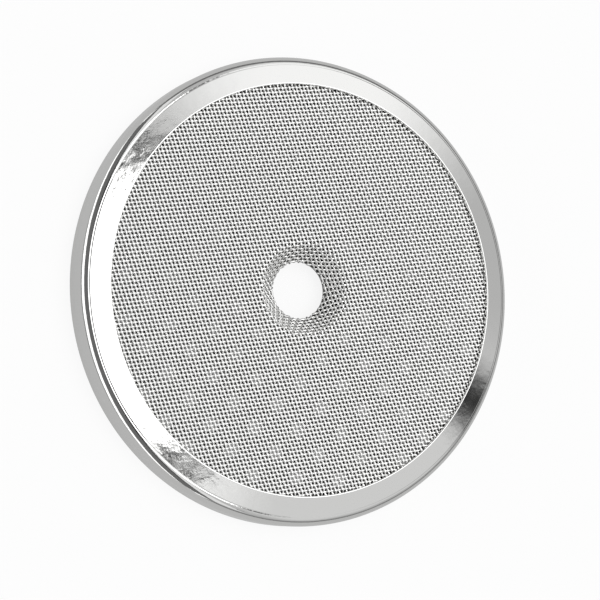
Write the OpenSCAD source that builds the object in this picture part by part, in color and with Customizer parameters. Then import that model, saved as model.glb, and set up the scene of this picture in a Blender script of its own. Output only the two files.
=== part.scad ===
// Espresso shower screen: a polished steel rim ring, a dished perforated plate
// nested in it, and a woven wire mesh clamped between the two.
// It lies on the back edge of its ring, mesh side up. The origin is on the
// centre line at that edge, and X and Y run along the rows of holes.

/* [Rim ring] */
// Outer diameter of the ring
ring_d = 57.5; // [52:0.1:64]
// Height from the back edge to the inner edge of the bezel
ring_h = 4.5; // [4:0.05:6.5]
// Thickness of the ring's sheet
ring_sheet = 0.5; // [0.3:0.05:0.6]
// Width of the bezel, seen from the front
bezel_w = 3.65; // [3.3:0.05:4.5]
// Fall of the bezel towards its outer edge, in degrees
bezel_fall = 16; // [8:0.5:20]
// Outer radius of the rolled corner between bezel and wall
corner_r = 1.7; // [1.3:0.05:1.9]
// Chamfer on the ring's two cut edges
edge_break = 0.1; // [0.05:0.01:0.15]

/* [Screw dish] */
// Diameter of the screw hole in the plate
screw_d = 7.2; // [6:0.1:8]
// Straight length of the screw hole's wall, before it flares at the back
screw_land = 0.3; // [0.15:0.05:0.4]
// Diameter of the dish, where it meets the flat back of the plate
dish_d = 12; // [11:0.1:13.5]
// Gap from the plane that the ring lies on to the dish's back, at the screw hole
dish_clear = 0.7; // [0.3:0.05:1]

/* [Perforated plate] */
// Thickness of the plate
plate_t = 0.6; // [0.4:0.05:0.8]
// Distance from hole to hole along a row, and from row to row
perf_pitch = 4.05; // [3.9:0.05:4.1]
// Diameter of each hole
perf_d = 1.8; // [1.2:0.1:2.2]
// Least distance from a hole's edge to the dish
perf_dish_gap = 0.5; // [0.2:0.1:0.9]
// Least distance from a hole's centre to the inner edge of the bezel
perf_rim_gap = 0.4; // [0.2:0.1:0.8]
// Outer radius of the corner between the plate's face and its skirt
skirt_corner_r = 0.8; // [0.65:0.05:1]
// Gap from the skirt's edge to the plane that the ring lies on
skirt_lift = 0.4; // [0.1:0.05:0.8]
// Clearance between the skirt and the ring's wall
skirt_clear = 0.02; // [0.01:0.01:0.08]

/* [Wire mesh] */
// Diameter of one wire
wire_d = 0.24; // [0.2:0.01:0.26]
// Distance from wire to wire
weave_pitch = 0.48; // [0.4:0.01:0.6]
// Direction of the warp wires, in degrees from X
warp_angle = 67; // [60:0.5:75]
// Direction of the weft wires, in degrees from X
weft_angle = -35; // [-45:0.5:-30]
// One ridge stands for this many neighbouring wires
wires_per_ridge = 6; // [6:1:10]
// Width of a ridge
ridge_w = 0.5; // [0.3:0.05:0.7]
// Height of a ridge above the wall between the ridges
ridge_h = 0.12; // [0.06:0.01:0.18]
// Gap from the mesh's cut edge to the start of the corners round it
mesh_trim = 0.15; // [0.05:0.05:0.4]
// Overhang of the mesh's front over the wall of the screw hole
mesh_lap = 0.2; // [0.05:0.05:0.25]

/* [Hidden] */

$fn = 64;
perf_fn = 16;

ring_r = ring_d / 2;
bezel_r = ring_r - bezel_w;
screw_r = screw_d / 2;
dish_r = dish_d / 2;

// Least and greatest distance of a hole's centre from the middle
perf_first_r = dish_r + perf_dish_gap + perf_d / 2;
perf_last_r = bezel_r - perf_rim_gap;

mesh_t = 2 * wire_d;
stack_t = mesh_t + plate_t;
skirt_r = ring_r - ring_sheet - skirt_clear;
corner_steps = 8;

// Front plane of the mesh, which is the underside of the bezel at its inner edge
mesh_z = ring_h - ring_sheet / cos(bezel_fall);
plate_z = mesh_z - mesh_t;

// Slope of the dish, taken along the back of the plate
dish_slope = atan2(mesh_z - stack_t - dish_clear, dish_r - screw_r);

// Radius where a surface of the dish meets the flat, up from the plate's back
function dish_edge_r(up) = dish_r - up * tan(dish_slope / 2);

// Height of a dish surface at radius r, up from the plate's back
function dish_z(r, up) = mesh_z - stack_t + up + (r - dish_edge_r(up)) * tan(dish_slope);

// Height of the bezel's cone at radius r, down from its front face
function bezel_z(r, down) = ring_h - down / cos(bezel_fall) - (r - bezel_r) * tan(bezel_fall);

// Radius where the flat of a layer turns down under the bezel
function bend_r(depth) = bezel_r - depth * tan(bezel_fall / 2);

// Centre of a corner that joins the bezel's cone to a wall of radius wall_r
function corner_x(wall_r, r) = wall_r - r;
function corner_z(wall_r, r, down) =
    bezel_z(corner_x(wall_r, r) + r * sin(bezel_fall), down) - r * cos(bezel_fall);

// The mesh ends where the first of the two corners round it starts
mesh_r = min(
    corner_x(skirt_r, skirt_corner_r),
    corner_x(ring_r, corner_r) + (corner_r - ring_sheet) * sin(bezel_fall)
) - mesh_trim;

// The mesh is cut square to the slope of the dish, so its hole widens with depth
function mesh_hole_r(down) = screw_r - mesh_lap + down * sin(dish_slope);

// Points of a corner, from the end of the bezel's cone down to the wall
function corner(wall_r, r, down, layer) = [
    for (i = [0 : corner_steps])
        let (turn = (90 - bezel_fall) * (1 - i / corner_steps))
        [
            corner_x(wall_r, r) + (r - layer) * cos(turn),
            corner_z(wall_r, r, down) + (r - layer) * sin(turn)
        ]
];

// A list of points in the opposite order
function reversed(points) = [for (i = [len(points) - 1 : -1 : 0]) points[i]];

// Half section of the ring: bezel, rolled corner and wall in one sheet
module ring_section() {
    polygon(concat(
        [
            [bezel_r, bezel_z(bezel_r, 0) - edge_break],
            [bezel_r + edge_break, bezel_z(bezel_r + edge_break, 0)]
        ],
        corner(ring_r, corner_r, 0, 0),
        [
            [ring_r, edge_break],
            [ring_r - edge_break, 0],
            [ring_r - ring_sheet, 0]
        ],
        reversed(corner(ring_r, corner_r, 0, ring_sheet)),
        [[bezel_r, bezel_z(bezel_r, ring_sheet)]]
    ));
}

// Half section of the plate: dish, flat face, fall under the bezel and skirt
module plate_section() {
    down = ring_sheet + mesh_t;
    land_z = dish_z(screw_r, plate_t) - screw_land;
    flare_r = screw_r + (land_z - dish_z(screw_r, 0)) * cos(dish_slope) * sin(dish_slope);
    polygon(concat(
        [
            [screw_r, land_z],
            [screw_r, dish_z(screw_r, plate_t)],
            [dish_edge_r(plate_t), plate_z],
            [bend_r(mesh_t), plate_z]
        ],
        corner(skirt_r, skirt_corner_r, down, 0),
        [
            [skirt_r, skirt_lift],
            [skirt_r - plate_t, skirt_lift]
        ],
        reversed(corner(skirt_r, skirt_corner_r, down, plate_t)),
        [
            [bend_r(stack_t), plate_z - plate_t],
            [dish_edge_r(0), plate_z - plate_t],
            [flare_r, dish_z(flare_r, 0)]
        ]
    ));
}

// Half section of the mesh as one wall, between two depths below its front
module mesh_layer(top, bottom, outer_r) {
    polygon([
        [mesh_hole_r(bottom), dish_z(mesh_hole_r(bottom), stack_t - bottom)],
        [dish_edge_r(stack_t - bottom), mesh_z - bottom],
        [bend_r(bottom), mesh_z - bottom],
        [outer_r, bezel_z(outer_r, ring_sheet + bottom)],
        [outer_r, bezel_z(outer_r, ring_sheet + top)],
        [bend_r(top), mesh_z - top],
        [dish_edge_r(stack_t - top), mesh_z - top],
        [mesh_hole_r(top), dish_z(mesh_hole_r(top), stack_t - top)]
    ]);
}

// Half section of the zone that holds the ridges, over the dish and the flat
module ridge_section() {
    bottom = mesh_t / 2;
    polygon([
        [mesh_hole_r(bottom), dish_z(mesh_hole_r(bottom), stack_t - bottom)],
        [dish_edge_r(stack_t - bottom), mesh_z - bottom],
        [bezel_r, mesh_z - bottom],
        [bezel_r, mesh_z],
        [dish_edge_r(stack_t), mesh_z],
        [mesh_hole_r(0), dish_z(mesh_hole_r(0), stack_t)]
    ]);
}

// Places its children at every hole of the square grid
module at_holes() {
    rows = floor(perf_last_r / perf_pitch);
    for (i = [-rows : rows], j = [-rows : rows]) {
        reach = perf_pitch * norm([i, j]);
        if (reach >= perf_first_r && reach <= perf_last_r)
            translate([i * perf_pitch, j * perf_pitch]) children();
    }
}

// Parallel bars that cover the whole disc, one for each ridge
module ridge_bars(angle) {
    ridge_pitch = weave_pitch * wires_per_ridge;
    last = floor(bezel_r / ridge_pitch);
    rotate(angle)
        for (k = [-last : last])
            translate([0, k * ridge_pitch]) square([ring_d, ridge_w], center = true);
}

// The woven pattern seen from the front
module weave_grid() {
    ridge_bars(warp_angle);
    ridge_bars(weft_angle);
}

module rim_ring() {
    color("gainsboro") rotate_extrude() ring_section();
}

module perforated_plate() {
    color("silver") difference() {
        rotate_extrude() plate_section();
        at_holes() cylinder(d = perf_d, h = ring_h, $fn = perf_fn);
    }
}

module wire_mesh() {
    color("lightgray") {
        difference() {
            rotate_extrude() mesh_layer(ridge_h, mesh_t, mesh_r);
            at_holes() cylinder(d = perf_d, h = ring_h, $fn = perf_fn);
        }
        // The ridges run on over the gaps and down into the dish
        intersection() {
            linear_extrude(ring_h) weave_grid();
            rotate_extrude() ridge_section();
        }
    }
}

rim_ring();
perforated_plate();
wire_mesh();
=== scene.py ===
"""Espresso shower screen: the looks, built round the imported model.

A polished steel ring clamps a woven wire mesh against a perforated plate. The screen
lies on the back edge of its ring, and the camera looks down on the mesh. Lengths are in
metres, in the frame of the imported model, and angles are in degrees until they are used.
"""
import logging
import math
import random
from dataclasses import dataclass, field
from enum import Enum
from typing import Iterable, Optional, Union

import bpy
import numpy as np
from mathutils import Matrix, Vector


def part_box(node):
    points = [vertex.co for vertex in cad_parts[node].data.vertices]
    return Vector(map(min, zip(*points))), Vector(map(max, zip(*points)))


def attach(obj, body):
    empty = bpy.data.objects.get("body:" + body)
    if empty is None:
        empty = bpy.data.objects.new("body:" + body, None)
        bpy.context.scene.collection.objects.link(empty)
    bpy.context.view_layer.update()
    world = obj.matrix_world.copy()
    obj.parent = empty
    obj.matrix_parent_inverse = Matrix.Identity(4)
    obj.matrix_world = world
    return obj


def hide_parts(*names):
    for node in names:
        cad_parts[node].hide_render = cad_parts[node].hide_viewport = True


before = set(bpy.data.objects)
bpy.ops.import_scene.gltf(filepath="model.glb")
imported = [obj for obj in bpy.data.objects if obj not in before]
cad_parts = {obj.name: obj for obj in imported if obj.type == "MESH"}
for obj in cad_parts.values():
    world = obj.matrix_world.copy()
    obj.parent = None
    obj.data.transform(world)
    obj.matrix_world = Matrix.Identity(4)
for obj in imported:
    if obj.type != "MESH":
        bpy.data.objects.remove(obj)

LOG = logging.getLogger("shower_screen")
BODY = "root"
MM = 0.001

Point = tuple[float, float]
Socket = bpy.types.NodeSocket
Value = Union[float, Socket]


class Node(Enum):
    """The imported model's nodes."""

    RING = "rim_ring"
    PLATE = "perforated_plate"
    MESH = "wire_mesh"


# Helpers for meshes


def deselect_all() -> None:
    """Leaves nothing selected, so that an operator acts on one new piece alone."""
    bpy.ops.object.select_all(action="DESELECT")


def pick(piece: bpy.types.Object) -> None:
    """Selects one object alone and makes it the active one."""
    deselect_all()
    piece.select_set(True)
    bpy.context.view_layer.objects.active = piece


def spun(name: str, outline: list[Point], steps: int) -> bpy.types.Object:
    """Turns a closed half section once round the Z axis into a closed body.

    Args:
        name: The name of the new piece.
        outline: Points of the half section, as radius and height.
        steps: Number of steps in the full turn.

    Returns:
        The new piece, with its normals pointing outwards.
    """
    deselect_all()
    bpy.ops.mesh.primitive_circle_add(vertices=len(outline), radius=1.0, fill_type="NOTHING")
    piece = bpy.context.object
    piece.name = name
    for vertex, (radius, height) in zip(piece.data.vertices, outline):
        vertex.co = (radius, 0.0, height)
    bpy.ops.object.mode_set(mode="EDIT")
    bpy.ops.mesh.select_all(action="SELECT")
    bpy.ops.mesh.spin(steps=steps, angle=math.tau, center=(0, 0, 0), axis=(0, 0, 1))
    bpy.ops.mesh.select_all(action="SELECT")
    bpy.ops.mesh.remove_doubles(threshold=1e-6)
    bpy.ops.mesh.normals_make_consistent(inside=False)
    bpy.ops.object.mode_set(mode="OBJECT")
    return piece


def smooth(piece: bpy.types.Object, angle: float) -> None:
    """Shades a piece smooth, apart from edges sharper than an angle in degrees."""
    pick(piece)
    bpy.ops.object.shade_smooth_by_angle(angle=math.radians(angle))


def arc(centre: Point, radius: float, start: float, end: float, steps: int) -> list[Point]:
    """Points of an arc in a half section.

    Args:
        centre: Centre of the arc, as radius and height.
        radius: Radius of the arc.
        start: Angle of the first point in degrees, from the outward direction.
        end: Angle of the last point in degrees.
        steps: Number of steps from the first point to the last.

    Returns:
        The points, with both ends.
    """
    turns = (math.radians(start + (end - start) * i / steps) for i in range(steps + 1))
    return [(centre[0] + radius * math.cos(t), centre[1] + radius * math.sin(t)) for t in turns]


def held(start: Point, end: Point, gap: float) -> list[Point]:
    """Two points on a straight stretch, near its ends, that keep its shading flat.

    Args:
        start: Start of the stretch.
        end: End of the stretch.
        gap: Distance of each point from its end.

    Returns:
        The two points, without the ends.
    """
    share = gap / math.dist(start, end)
    return [(start[0] + (end[0] - start[0]) * t, start[1] + (end[1] - start[1]) * t)
            for t in (share, 1 - share)]


# Helpers for materials


class Board:
    """A node tree with short ways to add and join its nodes."""

    def __init__(self, tree: bpy.types.NodeTree) -> None:
        """Keeps the tree that the nodes go into."""
        self.tree = tree

    def add(self, kind: str, **settings: object) -> bpy.types.Node:
        """Adds a node.

        Args:
            kind: The node's type name, without its ShaderNode prefix.
            **settings: Properties of the node to set.

        Returns:
            The new node.
        """
        prefix = "" if kind.startswith("NodeGroup") else "ShaderNode"
        node = self.tree.nodes.new(prefix + kind)
        for name, value in settings.items():
            setattr(node, name, value)
        return node

    def feed(self, target: Socket, value: Value) -> None:
        """Joins a socket to a target, or sets the target where value is a constant."""
        if isinstance(value, bpy.types.NodeSocket):
            self.tree.links.new(value, target)
        else:
            target.default_value = value

    def math(self, operation: str, *values: Value) -> Socket:
        """Adds a math node on the given values and returns its result."""
        node = self.add("Math", operation=operation)
        for target, value in zip(node.inputs, values):
            self.feed(target, value)
        return node.outputs[0]

    def dot(self, vector: Socket, axis: Iterable[float]) -> Socket:
        """Returns the length of a vector along an axis."""
        node = self.add("VectorMath", operation="DOT_PRODUCT")
        self.feed(node.inputs[0], vector)
        node.inputs[1].default_value = tuple(axis)
        return node.outputs["Value"]

    def ramp(self, value: Socket, low: float, high: float, start: Value = 0.0,
             end: Value = 1.0) -> Socket:
        """Maps a value smoothly from the range low to high onto start to end."""
        node = self.add("MapRange", interpolation_type="SMOOTHSTEP")
        for target, given in zip(node.inputs, (value, low, high, start, end)):
            self.feed(target, given)
        return node.outputs[0]

    def blend(self, factor: Value, first: Value, second: Value) -> Socket:
        """Returns a number that goes from first to second with the factor."""
        node = self.add("Mix", data_type="FLOAT")
        for target, given in zip(node.inputs[:1] + node.inputs[2:4], (factor, first, second)):
            self.feed(target, given)
        return node.outputs[0]

    def tint(self, factor: Value, first: Iterable[float], second: Iterable[float]) -> Socket:
        """Returns a colour that goes from first to second with the factor."""
        node = self.add("Mix", data_type="RGBA")
        self.feed(node.inputs[0], factor)
        node.inputs[6].default_value = (*first, 1.0)
        node.inputs[7].default_value = (*second, 1.0)
        return node.outputs[2]

    def noise(self, vector: Socket, scale: Value, detail: float = 2.0,
              roughness: float = 0.5) -> Socket:
        """Returns a noise value at a place, where scale is in waves per metre."""
        node = self.add("TexNoise", noise_dimensions="3D")
        self.feed(node.inputs["Vector"], vector)
        self.feed(node.inputs["Scale"], scale)
        node.inputs["Detail"].default_value = detail
        node.inputs["Roughness"].default_value = roughness
        return node.outputs[0]


class Effect:
    """A shader node group with named inputs and one output, built once."""

    def __init__(self, name: str, inputs: dict[str, float], output: str) -> None:
        """Makes the empty group with its sockets."""
        self.tree = bpy.data.node_groups.new(name, "ShaderNodeTree")
        self.board = Board(self.tree)
        for label, value in inputs.items():
            made = self.tree.interface.new_socket(label, in_out="INPUT", socket_type="NodeSocketFloat")
            made.default_value = value
        self.tree.interface.new_socket(output, in_out="OUTPUT", socket_type="NodeSocketFloat")
        self.inputs = self.board.add("NodeGroupInput").outputs
        self.result = self.board.add("NodeGroupOutput").inputs[0]

    def place(self, board: Board, **values: float) -> Socket:
        """Places the group in a material with its own values and returns its output."""
        node = board.add("Group", node_tree=self.tree)
        for label, value in values.items():
            node.inputs[label.replace("_", " ").capitalize()].default_value = value
        return node.outputs[0]


def lathe_grain() -> Effect:
    """Fine rings round the Z axis, as turning and buffing leave them."""
    effect = Effect("lathe_grain", {"Lines": 4000.0, "Length": 2.0}, "Height")
    board = effect.board
    place = board.add("TexCoord").outputs["Object"]
    parts = board.add("SeparateXYZ")
    board.feed(parts.inputs[0], place)
    x, y, z = parts.outputs
    radius = board.math("POWER", board.math("ADD", board.math("MULTIPLY", x, x),
                                            board.math("MULTIPLY", y, y)), 0.5)
    along = board.add("CombineXYZ")
    board.feed(along.inputs[0], board.math("MULTIPLY", board.math("SUBTRACT", radius, z),
                                           effect.inputs["Lines"]))
    turn = board.math("ARCTAN2", y, x)
    board.feed(along.inputs[1], board.math("MULTIPLY", board.math("SINE", turn),
                                           effect.inputs["Length"]))
    board.feed(along.inputs[2], board.math("MULTIPLY", board.math("COSINE", turn),
                                           effect.inputs["Length"]))
    board.feed(effect.result, board.noise(along.outputs[0], 1.0, detail=3.0, roughness=0.6))
    return effect


def mottle() -> Effect:
    """Soft uneven patches, as handling and pressing leave them."""
    effect = Effect("mottle", {"Scale": 300.0, "Low": 0.0, "High": 1.0}, "Value")
    board = effect.board
    place = board.add("TexCoord").outputs["Object"]
    value = board.noise(place, effect.inputs["Scale"], detail=4.0, roughness=0.55)
    board.feed(effect.result, board.ramp(value, 0.3, 0.7, effect.inputs["Low"],
                                         effect.inputs["High"]))
    return effect


def rolled_grain() -> Effect:
    """Short straight lines along X, as sheet has from the rolling mill."""
    effect = Effect("rolled_grain", {"Across": 9000.0, "Along": 300.0}, "Height")
    board = effect.board
    parts = board.add("SeparateXYZ")
    board.feed(parts.inputs[0], board.add("TexCoord").outputs["Object"])
    x, y, z = parts.outputs
    stretched = board.add("CombineXYZ")
    board.feed(stretched.inputs[0], board.math("MULTIPLY", x, effect.inputs["Along"]))
    board.feed(stretched.inputs[1], board.math("MULTIPLY", y, effect.inputs["Across"]))
    board.feed(stretched.inputs[2], board.math("MULTIPLY", z, effect.inputs["Across"]))
    board.feed(effect.result, board.noise(stretched.outputs[0], 1.0, detail=2.0))
    return effect


@dataclass(frozen=True)
class SteelFinish:
    """One finish of stainless steel.

    The roughness moves between two values over soft patches, and the bump takes a fine
    grain and a slow unevenness, each with its depth in metres. Faces that look up are
    darker by the last factor, a painted shade for the mesh's shade on the plate's front.
    """

    name: str
    slot: str
    colour: tuple[float, float, float]
    roughness: tuple[float, float]
    patches: float
    grain_depth: float
    uneven_depth: float
    uneven_scale: float
    painted_up_shade: float = 1.0

    def material(self, grain: Socket, board: Board, patch: Effect) -> None:
        """Fills the material's board.

        Args:
            grain: The height of the fine grain.
            board: The material's nodes.
            patch: The effect that makes soft patches.
        """
        shader = board.add("BsdfPrincipled")
        # Painted shade: faces that look up get a darker colour, for the shade that the mesh casts on the
        # plate's front.
        shaded_colour = tuple(self.painted_up_shade * part for part in self.colour)
        up = board.dot(board.add("NewGeometry").outputs["Normal"], (0, 0, 1))
        board.feed(shader.inputs["Base Color"], board.tint(board.ramp(up, 0.2, 0.4), self.colour, shaded_colour))
        shader.inputs["Metallic"].default_value = 1.0
        low, high = self.roughness
        board.feed(shader.inputs["Roughness"], patch.place(board, scale=self.patches, low=low, high=high))
        uneven = board.add("Bump")
        uneven.inputs["Distance"].default_value = self.uneven_depth
        board.feed(uneven.inputs["Height"], patch.place(board, scale=self.uneven_scale))
        fine = board.add("Bump")
        fine.inputs["Distance"].default_value = self.grain_depth
        board.feed(fine.inputs["Height"], grain)
        board.feed(fine.inputs["Normal"], uneven.outputs[0])
        board.feed(shader.inputs["Normal"], fine.outputs[0])
        board.feed(board.add("OutputMaterial").inputs["Surface"], shader.outputs[0])


RING_FINISH = SteelFinish(
    name="polished_steel", slot="rim_ring", colour=(0.80, 0.80, 0.79),
    roughness=(0.05, 0.10), patches=500.0, grain_depth=0.0002 * MM,
    uneven_depth=0.006 * MM, uneven_scale=450.0,
)
WIRE_FINISH = SteelFinish(
    name="drawn_wire", slot="wire_mesh", colour=(0.92, 0.92, 0.91),
    roughness=(0.24, 0.34), patches=900.0, grain_depth=0.002 * MM,
    uneven_depth=0.004 * MM, uneven_scale=2500.0,
)
# The plate's upward faces are darker by a painted shade, for the mesh's shade on its front.
PLATE_FINISH = SteelFinish(
    name="satin_sheet", slot="perforated_plate", colour=(0.70, 0.70, 0.69),
    roughness=(0.26, 0.40), patches=350.0, grain_depth=0.004 * MM,
    uneven_depth=0.01 * MM, uneven_scale=300.0, painted_up_shade=0.16,
)


class Workshop:
    """Makes the materials, from effects that they share."""

    def __init__(self) -> None:
        """Builds the shared effects."""
        self.lathe = lathe_grain()
        self.rolled = rolled_grain()
        self.patch = mottle()

    def _start(self, finish: SteelFinish) -> tuple[bpy.types.Material, Board]:
        """Makes an empty material for a finish."""
        made = bpy.data.materials.new(finish.name)
        made.use_nodes = True
        made.node_tree.nodes.clear()
        return made, Board(made.node_tree)

    def turned(self, finish: SteelFinish, lines: float) -> bpy.types.Material:
        """Makes a finish with a fine grain round the Z axis, of so many lines a metre."""
        made, board = self._start(finish)
        finish.material(self.lathe.place(board, lines=lines), board, self.patch)
        return made

    def sheet(self, finish: SteelFinish, across: float, along: float) -> bpy.types.Material:
        """Makes a finish with a straight grain, given in waves per metre."""
        made, board = self._start(finish)
        finish.material(self.rolled.place(board, across=across, along=along), board, self.patch)
        return made


# The shape that all pieces share


@dataclass(frozen=True)
class Stack:
    """Half section of the ring, the mesh and the plate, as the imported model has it."""

    ring_r: float
    ring_top: float
    mesh_z: float
    mesh_r: float
    bezel_w: float = 3.65 * MM
    bezel_fall: float = 16.0
    ring_sheet: float = 0.5 * MM
    corner_r: float = 1.7 * MM
    edge_break: float = 0.1 * MM
    screw_d: float = 7.2 * MM
    dish_d: float = 12.0 * MM
    dish_clear: float = 0.7 * MM
    plate_t: float = 0.6 * MM
    wire_d: float = 0.24 * MM
    mesh_lap: float = 0.2 * MM

    @classmethod
    def from_frame(cls) -> "Stack":
        """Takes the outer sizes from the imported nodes."""
        ring_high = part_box(Node.RING.value)[1]
        mesh_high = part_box(Node.MESH.value)[1]
        return cls(ring_r=ring_high.x, ring_top=ring_high.z, mesh_z=mesh_high.z,
                   mesh_r=mesh_high.x)

    @property
    def fall(self) -> float:
        """Drop of the bezel for each unit of radius."""
        return math.tan(math.radians(self.bezel_fall))

    @property
    def bezel_r(self) -> float:
        """Inner radius of the bezel."""
        return self.ring_r - self.bezel_w

    @property
    def ring_h(self) -> float:
        """Height of the bezel's inner edge, before its corner is broken."""
        return self.ring_top + self.edge_break * self.fall

    @property
    def mesh_t(self) -> float:
        """Thickness of the woven mesh."""
        return 2 * self.wire_d

    @property
    def stack_t(self) -> float:
        """Thickness of mesh and plate together."""
        return self.mesh_t + self.plate_t

    @property
    def dish_slope(self) -> float:
        """Slope of the dish, as a rise for each unit of radius."""
        run = (self.dish_d - self.screw_d) / 2
        return (self.mesh_z - self.stack_t - self.dish_clear) / run

    @property
    def hole_r(self) -> float:
        """Radius of the wires' ends round the screw hole, where the press has flattened them."""
        depth = self.wire_d / 2 * math.sin(math.atan(self.dish_slope))
        return self.screw_d / 2 - self.mesh_lap + depth

    def drawn_r(self, radius: np.ndarray) -> np.ndarray:
        """Radius to which the pressing of the dish draws a point of the flat mesh."""
        edge = self.dish_edge_r(self.plate_t + self.wire_d)
        pull = np.clip(edge - radius, 0, None) * (1 - math.cos(math.atan(self.dish_slope)))
        return radius + pull

    @property
    def punched_r(self) -> float:
        """Radius of the hole in the flat mesh, before the dish is pressed."""
        edge = self.dish_edge_r(self.plate_t + self.wire_d)
        return edge - (edge - self.hole_r) / math.cos(math.atan(self.dish_slope))

    def dish_edge_r(self, up: float) -> float:
        """Radius where a layer of the dish meets the flat, up from the plate's back."""
        return self.dish_d / 2 - up * math.tan(math.atan(self.dish_slope) / 2)

    def bezel_z(self, radius: float, down: float = 0.0) -> float:
        """Height of the bezel's cone at a radius, down from its front."""
        depth = down / math.cos(math.radians(self.bezel_fall))
        return self.ring_h - depth - (radius - self.bezel_r) * self.fall

    def bend_r(self, depth: float) -> float:
        """Radius where the flat of a layer turns down under the bezel."""
        return self.bezel_r - depth * math.tan(math.radians(self.bezel_fall) / 2)

    def corner(self, wall_r: float, corner_r: float, down: float = 0.0) -> Point:
        """Centre of the corner that joins the bezel's cone to a wall."""
        turn = math.radians(self.bezel_fall)
        x = wall_r - corner_r
        return x, self.bezel_z(x + corner_r * math.sin(turn), down) - corner_r * math.cos(turn)


# The ring


@dataclass
class RimRing:
    """The polished ring: bezel, rolled corner and wall in one pressed sheet."""

    stack: Stack
    edge_r: float = 0.12 * MM
    support: float = 0.05 * MM
    crease: float = 0.019 * MM
    turn_steps: int = 384
    corner_steps: int = 18
    edge_steps: int = 14
    lines: float = 26000.0

    def outline(self) -> list[Point]:
        """Half section of the ring, with rounded cut edges and a crease beside the bezel.

        Returns:
            The points, from the bezel's inner edge outwards and back inside.
        """
        s = self.stack
        fall, inner_r = s.bezel_fall, s.ring_r - s.ring_sheet
        centre = s.corner(s.ring_r, s.corner_r)
        edge_x = s.bezel_r + self.edge_r
        edge_z = s.bezel_z(edge_x) - self.edge_r / math.cos(math.radians(fall))
        foot = (s.ring_r - self.edge_r, self.edge_r)
        heel = (inner_r + self.edge_r, self.edge_r)
        lip = arc((edge_x, edge_z), self.edge_r, 180, 90 - fall, self.edge_steps)
        shoulder = arc(centre, s.corner_r, 90 - fall, 0, self.corner_steps)
        sunk = (90 - fall) * (1 - 1 / self.corner_steps)
        shoulder[1] = arc(centre, s.corner_r - self.crease, sunk, sunk, 1)[0]
        toe = arc(foot, self.edge_r, 0, -90, self.edge_steps)
        return [
            (s.bezel_r, s.bezel_z(s.bezel_r, s.ring_sheet)),
            *lip,
            *held(lip[-1], shoulder[0], self.support),
            *shoulder,
            *held(shoulder[-1], toe[0], self.support),
            *toe,
            *arc(heel, self.edge_r, -90, -180, self.edge_steps),
            *arc(centre, s.corner_r - s.ring_sheet, 0, 90 - fall, self.corner_steps // 2),
        ]

    def build(self, workshop: Workshop) -> bpy.types.Object:
        """Builds the ring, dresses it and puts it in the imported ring's place."""
        piece = spun("rim_ring_polished", self.outline(), self.turn_steps)
        smooth(piece, 8.5)
        piece.data.materials.append(workshop.turned(RING_FINISH, self.lines))
        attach(piece, BODY)
        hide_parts(Node.RING.value)
        return piece


# The mesh


class Lay(Enum):
    """The two directions of wire in the weave."""

    WARP = "warp"
    WEFT = "weft"


@dataclass(frozen=True)
class Family:
    """The wires of one direction, with their angle from X and their spacing."""

    lay: Lay
    angle: float
    pitch: float

    @property
    def along(self) -> np.ndarray:
        """Unit vector along the wires."""
        turn = math.radians(self.angle)
        return np.array([math.cos(turn), math.sin(turn)])

    @property
    def across(self) -> np.ndarray:
        """Unit vector across the wires."""
        turn = math.radians(self.angle)
        return np.array([-math.sin(turn), math.cos(turn)])


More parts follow.
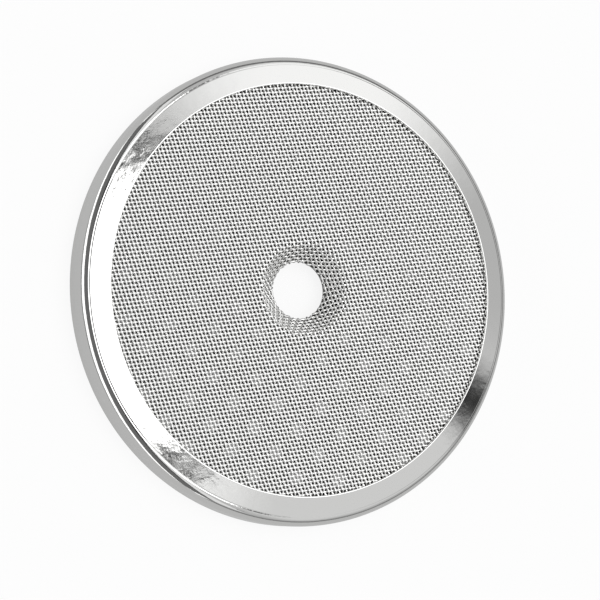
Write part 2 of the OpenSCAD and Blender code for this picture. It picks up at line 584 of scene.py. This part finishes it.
@dataclass
class WireMesh:
    """The woven mesh: every wire on its own, over and under the ones that it crosses."""

    stack: Stack
    warp: Family = Family(Lay.WARP, 67.0, 0.4745 * MM)
    weft: Family = Family(Lay.WEFT, -35.0, 0.4842 * MM)
    crest: float = 0.22
    stray: float = 0.012 * MM
    pressed: float = 0.35 * MM
    squareness: float = 3.4
    section_steps: int = 10
    seed: int = 7
    chance: random.Random = field(init=False)

    def __post_init__(self) -> None:
        """Starts the seeded chance that moves each wire a little."""
        self.chance = random.Random(self.seed)

    def spans(self, offset: float) -> list[Point]:
        """Stretches of a straight line that lie on the mesh while it is flat.

        Args:
            offset: Distance of the line from the centre.

        Returns:
            Start and end of each stretch, measured along the line.
        """
        if abs(offset) >= self.stack.mesh_r:
            return []
        reach = math.sqrt(self.stack.mesh_r ** 2 - offset ** 2)
        if abs(offset) >= self.stack.punched_r:
            return [(-reach, reach)]
        hole = math.sqrt(self.stack.punched_r ** 2 - offset ** 2)
        return [(-reach, -hole), (hole, reach)]

    def surface(self, plan: np.ndarray) -> tuple[np.ndarray, np.ndarray]:
        """Middle surface of the mesh over the plan.

        Args:
            plan: Points in the plan, one to a row.

        Returns:
            The height at each point, and the surface's unit normal there.
        """
        s = self.stack
        half = s.wire_d
        radius = np.linalg.norm(plan, axis=1)
        bend = s.plate_t + half
        turn = math.atan(s.dish_slope)
        bend_start = s.dish_edge_r(s.plate_t + half) + bend * math.tan(turn / 2)
        bend_end = bend_start - bend * math.sin(turn)
        lean = np.clip((bend_start - radius) / bend, 0.0, math.sin(turn))
        height = s.mesh_z - half - bend * (1 - np.sqrt(1 - lean ** 2))
        height -= np.clip(bend_end - radius, 0, None) * s.dish_slope
        fall_start = s.bend_r(half)
        height -= np.clip(radius - fall_start, 0, None) * s.fall
        lean = np.where(radius > fall_start, -math.sin(math.atan(s.fall)), lean)
        normal = np.column_stack([-lean[:, None] * plan / radius[:, None], np.sqrt(1 - lean ** 2)])
        return height, normal

    def wires(self, family: Family, other: Family,
              numbers: Iterable[int]) -> Iterable[tuple[np.ndarray, np.ndarray]]:
        """Centre lines of some wires of a family.

        Args:
            family: The family that the wires belong to.
            other: The family that they cross.
            numbers: The wires' numbers, counted from the centre.

        Yields:
            The points of one wire, one to a row, and the mesh's normal at each.
        """
        lean = float(other.across @ family.along)
        step = other.pitch / abs(lean)
        side = 1.0 if family.lay is Lay.WARP else -1.0
        for number in numbers:
            offset = number * family.pitch + self.chance.uniform(-self.stray, self.stray)
            for start, end in self.spans(offset):
                skew = float(other.across @ family.across) * offset
                bounds = sorted((skew + lean * end, skew + lean * start))
                crossed = np.arange(math.ceil(bounds[0] / other.pitch), math.floor(bounds[1] / other.pitch) + 1)
                if len(crossed) < 2:
                    continue
                middle = (crossed * other.pitch - skew) / lean
                lift = side * np.where((crossed + number) % 2 == 0, 1.0, -1.0) * self.stack.wire_d / 2
                order = np.argsort(middle)
                middle, lift = middle[order], lift[order]
                places = np.column_stack([middle - self.crest * step, middle + self.crest * step]).ravel()
                lifts = np.repeat(lift, 2)
                ends = np.array([start, end])
                inside = (places > start + 0.1 * step) & (places < end - 0.1 * step)
                along = np.concatenate([ends[:1], places[inside], ends[1:]])
                rise = np.interp(along, places, lifts)
                plan = family.across * offset + along[:, None] * family.along
                flat_r = np.linalg.norm(plan, axis=1)
                plan *= (self.stack.drawn_r(flat_r) / flat_r)[:, None]
                height, normal = self.surface(plan)
                from_hole = np.linalg.norm(plan, axis=1) - self.stack.hole_r
                rise *= np.clip(from_hole / self.pressed, 0.0, 1.0)
                yield np.column_stack([plan, height]) + normal * rise[:, None], normal

    def section(self) -> bpy.types.Object:
        """Section of a wire that the rolls have pressed a little flat, as a closed curve."""
        turns = np.arange(self.section_steps) * math.tau / self.section_steps
        rounded = np.column_stack([np.cos(turns), np.sin(turns)])
        points = np.sign(rounded) * np.abs(rounded) ** (2 / self.squareness) * self.stack.wire_d / 2
        curve = bpy.data.curves.new("wire_section", "CURVE")
        spline = curve.splines.new("POLY")
        spline.points.add(len(points) - 1)
        spline.use_cyclic_u = True
        for point, (x, y) in zip(spline.points, points):
            point.co = (x, y, 0.0, 1.0)
        section = bpy.data.objects.new("wire_section", curve)
        bpy.context.scene.collection.objects.link(section)
        return section

    @staticmethod
    def tilts(line: np.ndarray, normal: np.ndarray) -> np.ndarray:
        """Turn of the section at each point that lays its flat side along the mesh.

        Args:
            line: The points of a wire.
            normal: The mesh's normal at each point.

        Returns:
            The angles from upright, about the wire's direction.
        """
        along = np.gradient(line, axis=0)
        along /= np.linalg.norm(along, axis=1)[:, None]
        up = np.array([0.0, 0.0, 1.0]) - along[:, 2:] * along
        side = np.cross(along, up)
        return np.arctan2((normal * side).sum(axis=1), (normal * up).sum(axis=1))

    def strand(self, name: str, lines: Iterable[tuple[np.ndarray, np.ndarray]]) -> bpy.types.Object:
        """Makes wires along centre lines, as one piece.

        Args:
            name: The name of the piece.
            lines: The centre lines, each with the mesh's normals.

        Returns:
            The piece, as a mesh.
        """
        section = self.section()
        curve = bpy.data.curves.new(name, "CURVE")
        curve.dimensions = "3D"
        curve.twist_mode = "Z_UP"
        curve.bevel_mode = "OBJECT"
        curve.bevel_object = section
        curve.use_fill_caps = True
        for line, normal in lines:
            spline = curve.splines.new("POLY")
            spline.points.add(len(line) - 1)
            spline.points.foreach_set("co", np.column_stack([line, np.ones(len(line))]).ravel())
            spline.points.foreach_set("tilt", self.tilts(line, normal))
        piece = bpy.data.objects.new(name, curve)
        bpy.context.scene.collection.objects.link(piece)
        pick(piece)
        bpy.ops.object.convert(target="MESH")
        bpy.data.objects.remove(section)
        return bpy.context.object

    def build(self, workshop: Workshop) -> list[bpy.types.Object]:
        """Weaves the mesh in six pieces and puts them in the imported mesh's place."""
        steel = workshop.turned(WIRE_FINISH, 9000.0)
        pieces = []
        for family, other in ((self.warp, self.weft), (self.weft, self.warp)):
            last = int(self.stack.mesh_r / family.pitch)
            thirds = np.array_split(np.arange(-last, last + 1), 3)
            for third, numbers in zip(("low", "middle", "high"), thirds):
                name = f"{family.lay.value}_wires_{third}"
                piece = self.strand(name, self.wires(family, other, numbers.tolist()))
                piece.data.materials.append(steel)
                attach(piece, BODY)
                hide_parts(Node.MESH.value)
                pieces.append(piece)
        return pieces


# The plate


@dataclass
class PerforatedPlate:
    """The plate behind the mesh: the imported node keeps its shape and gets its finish."""

    across: float = 14000.0
    along: float = 500.0

    def dress(self, node: bpy.types.Object, workshop: Workshop) -> None:
        """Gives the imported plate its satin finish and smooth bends."""
        smooth(node, 25)
        node.data.materials.clear()
        node.data.materials.append(workshop.sheet(PLATE_FINISH, self.across, self.along))


# The studio


@dataclass(frozen=True)
class Panel:
    """A soft rectangle of light or shade in the surroundings.

    Angles are in degrees: the middle's azimuth from X and height above the horizon, the
    width and height, and how far the edge fades. The level is 1 where it is white.
    """

    azimuth: float
    elevation: float
    width: float
    height: float
    fade: float
    level: float

    def draw(self, board: Board, direction: Socket, under: Value) -> Socket:
        """Draws the panel over what is already there.

        Args:
            board: The world's nodes.
            direction: Unit vector that looks out from the object.
            under: The level without the panel.

        Returns:
            The level with the panel.
        """
        turn, rise = math.radians(self.azimuth), math.radians(self.elevation)
        ahead = (math.cos(rise) * math.cos(turn), math.cos(rise) * math.sin(turn), math.sin(rise))
        aside = (-math.sin(turn), math.cos(turn), 0.0)
        above = (-math.sin(rise) * math.cos(turn), -math.sin(rise) * math.sin(turn), math.cos(rise))
        side = board.math("ARCTAN2", board.dot(direction, aside), board.dot(direction, ahead))
        up = board.math("ARCSINE", board.dot(direction, above))
        inside = None
        for angle, size in ((side, self.width), (up, self.height)):
            edge = board.ramp(board.math("ABSOLUTE", angle), math.radians(size / 2 - self.fade / 2),
                              math.radians(size / 2 + self.fade / 2), 1.0, 0.0)
            inside = edge if inside is None else board.math("MULTIPLY", inside, edge)
        return board.blend(inside, under, self.level)


@dataclass(frozen=True)
class Disc:
    """A round soft light or its dark rim, with its middle, radius and fade in degrees."""

    azimuth: float
    elevation: float
    radius: float
    fade: float
    level: float

    def draw(self, board: Board, direction: Socket, under: Value) -> Socket:
        """Draws the disc over what is already there, as a panel does."""
        turn, rise = math.radians(self.azimuth), math.radians(self.elevation)
        middle = (math.cos(rise) * math.cos(turn), math.cos(rise) * math.sin(turn), math.sin(rise))
        away = board.math("ARCCOSINE", board.math("MINIMUM", board.dot(direction, middle), 1.0))
        inside = board.ramp(away, math.radians(self.radius - self.fade / 2),
                            math.radians(self.radius + self.fade / 2), 1.0, 0.0)
        return board.blend(inside, under, self.level)


@dataclass
class Studio:
    """A white table in soft light, with a round softbox overhead and shaded sides.

    The camera sees the table as white paper. Under the plate, between two radii, that white
    is turned low as a painted shade, lowest on the side that the softbox is away from.
    Mirrors see the open table's glow below white, as a painted shade in reflections.
    """

    horizon_level: float = 0.28
    open_level: float = 0.68
    horizon_top: tuple[float, float] = (4.0, 19.0)
    floor_colour: tuple[float, float, float] = (0.92, 0.92, 0.92)
    floor_r: float = 1.5
    camera_white: float = 0.88
    mirror_white: tuple[float, float] = (0.12, 0.52)
    shade_white: tuple[float, float] = (0.0, 0.24)
    shade_azimuth: float = -130.0
    shade_from: tuple[float, float] = (4.4 * MM, 4.8 * MM)
    shade_to: tuple[float, float] = (27.8 * MM, 28.4 * MM)
    lights: tuple[Union[Panel, Disc], ...] = (
        Panel(azimuth=-80, elevation=44, width=60, height=40, fade=16, level=0.92),
        Panel(azimuth=11.5, elevation=40, width=39, height=44, fade=24, level=1.40),
        Panel(azimuth=-52.8, elevation=30, width=7.6, height=26, fade=6, level=0.05),
        Panel(azimuth=20, elevation=6, width=100, height=18, fade=8, level=0.22),
        Panel(azimuth=145, elevation=19, width=150, height=20, fade=4, level=2.0),
        Panel(azimuth=145, elevation=45.5, width=150, height=33, fade=3, level=0.20),
        Panel(azimuth=145, elevation=62, width=150, height=7, fade=2, level=0.03),
        Panel(azimuth=145, elevation=71, width=150, height=11, fade=2, level=1.1),
        Disc(azimuth=-117, elevation=62, radius=7, fade=14, level=1.3),
        Disc(azimuth=-25.8, elevation=77, radius=30.1, fade=0.8, level=0.04),
        Disc(azimuth=-25.8, elevation=77, radius=28.15, fade=0.8, level=2.8),
    )

    def surround(self) -> None:
        """Lights the scene from all sides, and keeps the backdrop white in the picture."""
        world = bpy.data.worlds.new("studio")
        bpy.context.scene.world = world
        world.use_nodes = True
        world.node_tree.nodes.clear()
        board = Board(world.node_tree)
        direction = board.add("TexCoord").outputs["Generated"]
        height = board.math("ARCSINE", board.dot(direction, (0, 0, 1)))
        low, high = (math.radians(angle) for angle in self.horizon_top)
        level = board.ramp(height, low, high, self.horizon_level, self.open_level)
        for light in self.lights:
            level = light.draw(board, direction, level)
        seen = board.add("LightPath").outputs["Is Camera Ray"]
        shine = board.add("Background")
        board.feed(shine.inputs["Strength"], board.blend(seen, level, 1.0))
        board.feed(board.add("OutputWorld").inputs["Surface"], shine.outputs[0])

    def floor(self) -> None:
        """Adds the white table, which keeps a faint shadow."""
        deselect_all()
        bpy.ops.mesh.primitive_circle_add(vertices=96, radius=self.floor_r, fill_type="NGON")
        table = bpy.context.object
        table.name = "table_top"
        made = bpy.data.materials.new("white_table")
        made.use_nodes = True
        made.node_tree.nodes.clear()
        board = Board(made.node_tree)
        paper = board.add("BsdfDiffuse")
        paper.inputs["Color"].default_value = (*self.floor_colour, 1.0)
        glow = board.add("Emission")
        path = board.add("LightPath").outputs
        place = board.add("TexCoord").outputs["Object"]
        away = board.add("VectorMath", operation="LENGTH")
        board.feed(away.inputs[0], place)
        radius = away.outputs["Value"]
        # Painted shade: under the plate the table's glow is turned low, and lower still along shade_azimuth,
        # where little real light reaches.
        shade = board.math("MULTIPLY", board.ramp(radius, *self.shade_from),
                           board.ramp(radius, *self.shade_to, 1.0, 0.0))
        turn, reach = math.radians(self.shade_azimuth), self.shade_to[0]
        along = board.dot(place, (math.cos(turn), math.sin(turn), 0))
        low = board.ramp(along, -reach, reach, *self.shade_white)
        mirrored = board.math("MAXIMUM", path["Is Glossy Ray"], path["Is Transmission Ray"])
        seen = board.math("MAXIMUM", path["Is Camera Ray"], mirrored)
        share = board.math("MULTIPLY", seen, board.blend(shade, self.camera_white, 1.0))
        # Painted shade in reflections: mirrors see the open table's glow at 0.12 by the screw hole and 0.52
        # past the ring, for the dim floor close to the screen.
        mirror_white = board.ramp(radius, self.shade_from[0], self.shade_to[1], *self.mirror_white)
        open_white = board.blend(mirrored, 1.0, mirror_white)
        board.feed(glow.inputs["Strength"], board.blend(shade, open_white, low))
        both = board.add("MixShader")
        board.feed(both.inputs[0], share)
        board.feed(both.inputs[1], paper.outputs[0])
        board.feed(both.inputs[2], glow.outputs[0])
        board.feed(board.add("OutputMaterial").inputs["Surface"], both.outputs[0])
        table.data.materials.append(made)

    def build(self) -> None:
        """Sets up the surroundings, the table and how colours are shown."""
        self.surround()
        self.floor()
        bpy.context.scene.view_settings.view_transform = "Standard"


@dataclass(frozen=True)
class Viewpoint:
    """Where the camera stands and how it is held."""

    aim: tuple[float, float, float] = (-1.375 * MM, -0.583 * MM, 3.669 * MM)
    distance: float = 250.18 * MM
    azimuth: float = 149.85
    tilt: float = 25.44
    roll: float = 78.88
    lens: float = 123.6
    sensor: float = 36.0

    def place(self) -> None:
        """Adds the camera and makes it the scene's own."""
        turn, tilt, roll = (math.radians(a) for a in (self.azimuth, self.tilt, self.roll))
        back = Vector((math.sin(tilt) * math.cos(turn), math.sin(tilt) * math.sin(turn), math.cos(tilt)))
        upright = (Vector((0, 0, 1)) - back * back.z).normalized()
        side = upright.cross(back)
        up = upright * math.cos(roll) - side * math.sin(roll)
        right = up.cross(back)
        data = bpy.data.cameras.new("camera")
        data.sensor_width = self.sensor
        data.lens = self.lens
        data.clip_start = 0.01
        camera = bpy.data.objects.new("camera", data)
        bpy.context.scene.collection.objects.link(camera)
        turned = Matrix((right, up, back)).transposed()
        camera.matrix_world = Matrix.LocRotScale(Vector(self.aim) + back * self.distance, turned, None)
        bpy.context.scene.camera = camera


def report(piece: Optional[bpy.types.Object]) -> None:
    """Logs one finished piece with its number of triangles."""
    if piece is not None:
        piece.data.calc_loop_triangles()
        LOG.info("%s: %d triangles", piece.name, len(piece.data.loop_triangles))


def main() -> None:
    """Builds the camera, the studio and the pieces in order."""
    logging.basicConfig(level=logging.INFO, format="%(name)s: %(message)s")
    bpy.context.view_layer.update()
    Viewpoint().place()
    Studio().build()
    stack = Stack.from_frame()
    workshop = Workshop()
    report(RimRing(stack).build(workshop))
    for piece in WireMesh(stack).build(workshop):
        report(piece)
    PerforatedPlate().dress(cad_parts[Node.PLATE.value], workshop)
    report(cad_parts[Node.PLATE.value])


if __name__ == "__main__":
    main()
